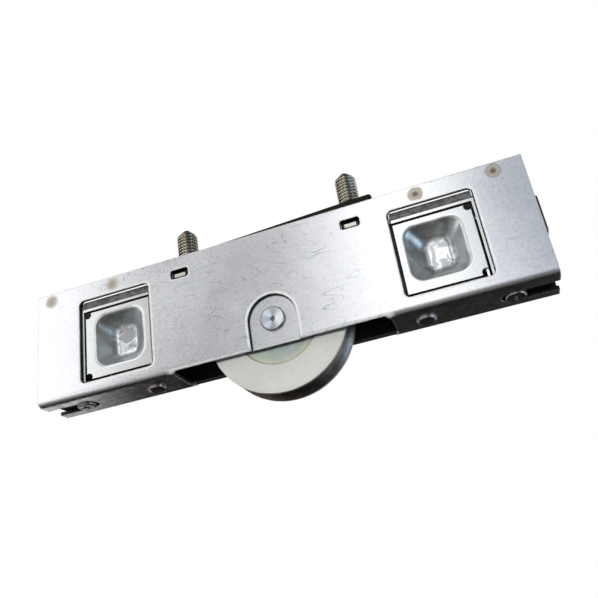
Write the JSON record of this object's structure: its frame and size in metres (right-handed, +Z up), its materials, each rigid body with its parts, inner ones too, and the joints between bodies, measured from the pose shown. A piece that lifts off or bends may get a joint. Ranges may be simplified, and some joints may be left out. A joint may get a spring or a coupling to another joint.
{
  "type": "sliding door roller",
  "caption": "Sliding door roller: folded steel housing with a grooved wheel on a ball bearing, two height adjusting screws and pressed spring leaves at its ends.",
  "frame": {"origin": "the wheel's lowest point, on the roller's middle plane and mid length", "axes": "+X along the roller, +Y through its depth to the rear wall, +Z up towards the door"},
  "size_m": [0.1424, 0.0154, 0.0591],
  "materials": {
    "housing_steel": "bright rolled sheet with fine scratches",
    "yoke_steel": "rolled sheet",
    "bracket_steel": "rolled sheet, polished in the pressed pockets",
    "plate_steel": "zinc plated",
    "bar_steel": "blackened",
    "screw_steel": "turned and threaded",
    "axle_steel": "peened ends",
    "tyre_steel": "turned groove",
    "core_nylon": "moulded, cream white",
    "cap_nylon": "translucent, green grey",
    "race_steel": "ground",
    "ball_steel": "polished",
    "cage_steel": "pressed strip",
    "rivet_steel": "plain",
    "fastener_steel": "zinc plated"
  },
  "bodies": {
    "frame": {"outer_housing": "housing_steel", "wheel_yoke": "yoke_steel", "end_bracket_left": "bracket_steel", "end_bracket_right": "bracket_steel", "nut_plate_left": "plate_steel", "nut_plate_right": "plate_steel", "lock_bar": "bar_steel", "axle": "axle_steel", "spacer_front": "axle_steel", "spacer_rear": "axle_steel", "bearing_inner_ring": "race_steel", "floor_rivet_left": "rivet_steel", "floor_rivet_right": "rivet_steel", "slot_screw_left": "fastener_steel", "slot_screw_right": "fastener_steel", "slot_nut_left": "fastener_steel", "slot_nut_right": "fastener_steel"},
    "wheel": {"wheel_core": "core_nylon", "wheel_tyre": "tyre_steel", "bearing_outer_ring": "race_steel", "dust_cap_front": "cap_nylon", "dust_cap_rear": "cap_nylon"},
    "ball_cage": {"bearing_cage": "cage_steel", "bearing_balls": "ball_steel"},
    "screw_left": {"adjusting_screw_left": "screw_steel"},
    "screw_right": {"adjusting_screw_right": "screw_steel"}
  },
  "joints": [
    {"name": "wheel_spin", "type": "hinge", "parent": "frame", "child": "wheel", "pos_m": [0, 0, 0.019], "axis": [0, 1, 0], "continuous": true},
    {"name": "cage_spin", "type": "hinge", "parent": "frame", "child": "ball_cage", "pos_m": [0, 0, 0.019], "axis": [0, 1, 0], "continuous": true},
    {"name": "screw_left_travel", "type": "slide", "parent": "frame", "child": "screw_left", "axis": [0, 0, 1], "range_m": [-0.0072, 0.0048]},
    {"name": "screw_right_travel", "type": "slide", "parent": "frame", "child": "screw_right", "axis": [0, 0, 1], "range_m": [-0.01, 0.002]}
  ],
  "couplings": [
    {"joint": "cage_spin", "follows": "wheel_spin", "ratio": 0.64}
  ]
}
